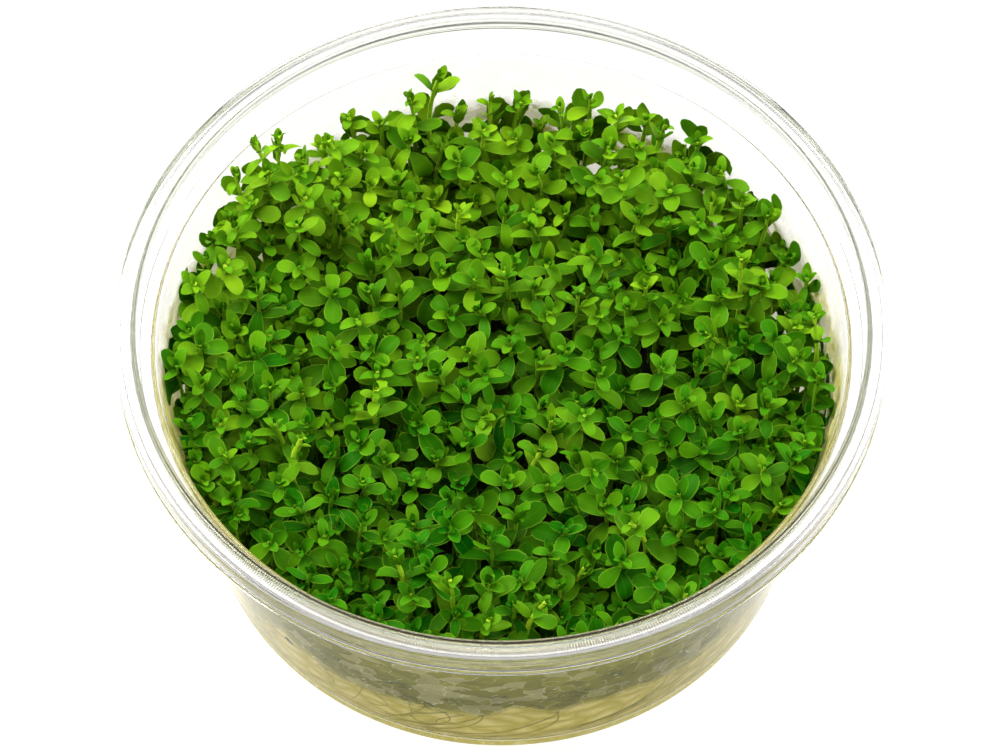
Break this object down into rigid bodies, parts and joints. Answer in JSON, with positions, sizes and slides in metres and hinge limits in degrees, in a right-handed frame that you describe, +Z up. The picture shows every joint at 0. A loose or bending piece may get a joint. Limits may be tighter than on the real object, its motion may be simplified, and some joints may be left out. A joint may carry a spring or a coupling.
{
  "type": "pearlweed in a clear tissue-culture cup",
  "caption": "Dense carpet of small-leaved pearlweed shoots growing from pale nutrient gel in a round, open, clear plastic cup with a wide stepped rim.",
  "frame": {"origin": "centre of the ring that the cup stands on", "axes": "+Z up out of the mouth of the cup, -Y towards the viewer, +X to the viewer's right"},
  "size_m": [0.1, 0.1, 0.0445],
  "materials": {
    "clear_plastic": "clear injection-moulded plastic, glossy, lightly fogged inside below the ledge",
    "nutrient_gel": "pale yellow, slightly cloudy set gel",
    "leaf_green": "fresh satin leaf",
    "light_leaf_green": "fresh satin leaf, lighter at the wall"
  },
  "bodies": {
    "root": {"cup": "clear_plastic", "gel": "nutrient_gel", "clump_01": "leaf_green", "clump_02": "leaf_green", "clump_03": "leaf_green", "clump_04": "leaf_green", "clump_05": "leaf_green", "clump_06": "leaf_green", "clump_07": "leaf_green", "clump_08": "light_leaf_green", "clump_09": "light_leaf_green", "clump_10": "light_leaf_green", "clump_11": "light_leaf_green", "clump_12": "light_leaf_green", "clump_13": "light_leaf_green", "clump_14": "light_leaf_green", "clump_15": "light_leaf_green", "clump_16": "light_leaf_green", "clump_17": "light_leaf_green", "clump_18": "light_leaf_green", "clump_19": "light_leaf_green"}
  },
  "joints": []
}
